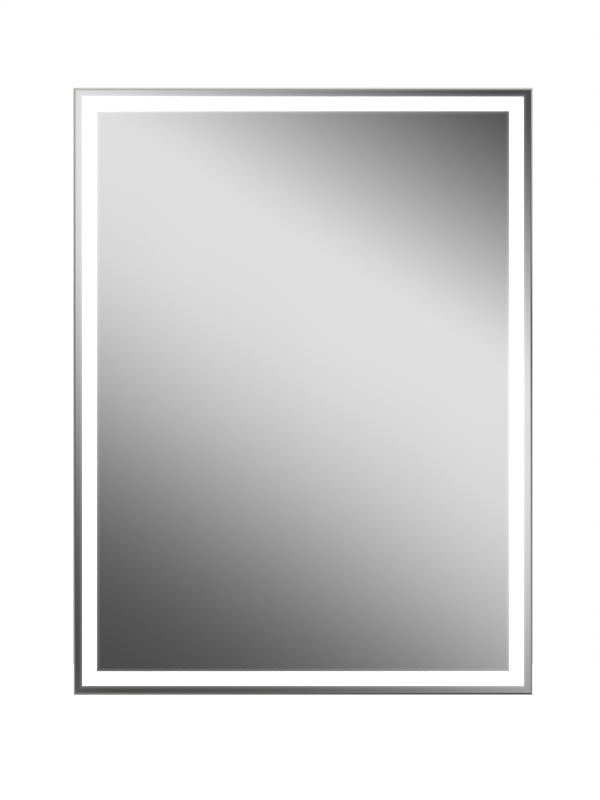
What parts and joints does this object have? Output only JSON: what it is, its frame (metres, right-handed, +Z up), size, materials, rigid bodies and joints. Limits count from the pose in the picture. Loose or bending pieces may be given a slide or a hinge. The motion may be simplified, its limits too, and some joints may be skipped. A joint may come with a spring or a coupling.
{
  "type": "lighted mirror cabinet",
  "caption": "Wall cabinet with a flat aluminium carcass, glass shelves and a mirrored door lit all round by a frosted band, hung on concealed linkage hinges.",
  "frame": {"origin": "centre of the four wall fixing holes, on the wall plane", "axes": "+X to the right seen from the room, +Y into the wall, +Z up; the door faces -Y"},
  "size_m": [0.605, 0.142, 0.8],
  "materials": {
    "frame_aluminium": "satin anodised, polished on the front lip",
    "body_aluminium": "satin anodised, drawn lengthwise",
    "mirror_glass": "silvered float glass",
    "shelf_glass": "clear float glass with polished edges",
    "hinge_steel": "nickel-plated pressed steel",
    "screw_steel": "zinc-plated",
    "opal_acrylic": "opal sheet, lit from the guide behind",
    "clear_acrylic": "clear sheet, dotted to lead light out",
    "light_board": "white circuit board",
    "light_chip": "light-emitting chip",
    "white_film": "white reflector film",
    "sheet_aluminium": "mill finish",
    "foam_tape": "white foam tape",
    "coated_sheet": "white powder coat",
    "support_chrome": "bright",
    "driver_case": "fine-grained white housing",
    "terminal_plastic": "moulded",
    "grommet_rubber": "soft black",
    "bumper_rubber": "soft translucent",
    "sensor_plastic": "moulded, glossy black",
    "sensor_window": "dark infrared window",
    "damper_plastic": "moulded grey"
  },
  "bodies": {
    "cabinet": {"side_panel_left": "body_aluminium", "side_panel_right": "body_aluminium", "top_panel": "body_aluminium", "bottom_panel": "body_aluminium", "body_corner_keys": "sheet_aluminium", "back_mirror": "mirror_glass", "top_wall_rail": "coated_sheet", "bottom_wall_rail": "coated_sheet", "rail_screws": "screw_steel", "upper_shelf": "shelf_glass", "lower_shelf": "shelf_glass", "shelf_supports": "support_chrome", "arm_pins": "screw_steel", "plate_screws": "screw_steel", "hinge_dampers": "damper_plastic", "electrics_cover": "coated_sheet", "cover_brackets": "coated_sheet", "cover_screws": "screw_steel", "led_driver": "driver_case", "terminal_block": "terminal_plastic", "wall_cable_grommet": "grommet_rubber", "cover_cable_grommet": "grommet_rubber", "sensor_switch": "sensor_plastic", "sensor_lens": "sensor_window", "door_bumpers": "bumper_rubber", "upper_hinge_arm": "hinge_steel", "middle_hinge_arm": "hinge_steel", "lower_hinge_arm": "hinge_steel", "upper_mounting_plate": "hinge_steel", "middle_mounting_plate": "hinge_steel", "lower_mounting_plate": "hinge_steel"},
    "outer_links": {"upper_outer_link": "hinge_steel", "middle_outer_link": "hinge_steel", "lower_outer_link": "hinge_steel"},
    "inner_links": {"upper_inner_link": "hinge_steel", "middle_inner_link": "hinge_steel", "lower_inner_link": "hinge_steel"},
    "door": {"door_frame_left": "frame_aluminium", "door_frame_right": "frame_aluminium", "door_frame_top": "frame_aluminium", "door_frame_bottom": "frame_aluminium", "door_corner_keys": "sheet_aluminium", "door_corner_screws": "screw_steel", "front_mirror": "mirror_glass", "opal_diffuser": "opal_acrylic", "light_guide": "clear_acrylic", "led_strips": "light_board", "led_chips": "light_chip", "reflector_sheet": "white_film", "door_backing_tray": "sheet_aluminium", "mirror_tape": "foam_tape", "inner_mirror": "mirror_glass", "cup_pins": "screw_steel", "cup_screws": "screw_steel", "door_cable_grommet": "grommet_rubber", "upper_hinge_cup": "hinge_steel", "middle_hinge_cup": "hinge_steel", "lower_hinge_cup": "hinge_steel"}
  },
  "joints": [
    {"name": "outer_link_swing", "type": "hinge", "parent": "cabinet", "child": "outer_links", "pos_m": [-0.2761, -0.08925, 0], "axis": [0, 0, -1], "range_deg": [-17.5, 0]},
    {"name": "inner_link_swing", "type": "hinge", "parent": "cabinet", "child": "inner_links", "pos_m": [-0.26725, -0.10905, 0], "axis": [0, 0, -1], "range_deg": [-4.1, 0]},
    {"name": "door_swing", "type": "hinge", "parent": "outer_links", "child": "door", "pos_m": [-0.2956, -0.11875, 0], "axis": [0, 0, -1], "range_deg": [0, 117.4]}
  ],
  "couplings": [
    {"joint": "outer_link_swing", "follows": "door_swing", "ratio": -0.14821},
    {"joint": "inner_link_swing", "follows": "door_swing", "ratio": -0.034072}
  ]
}
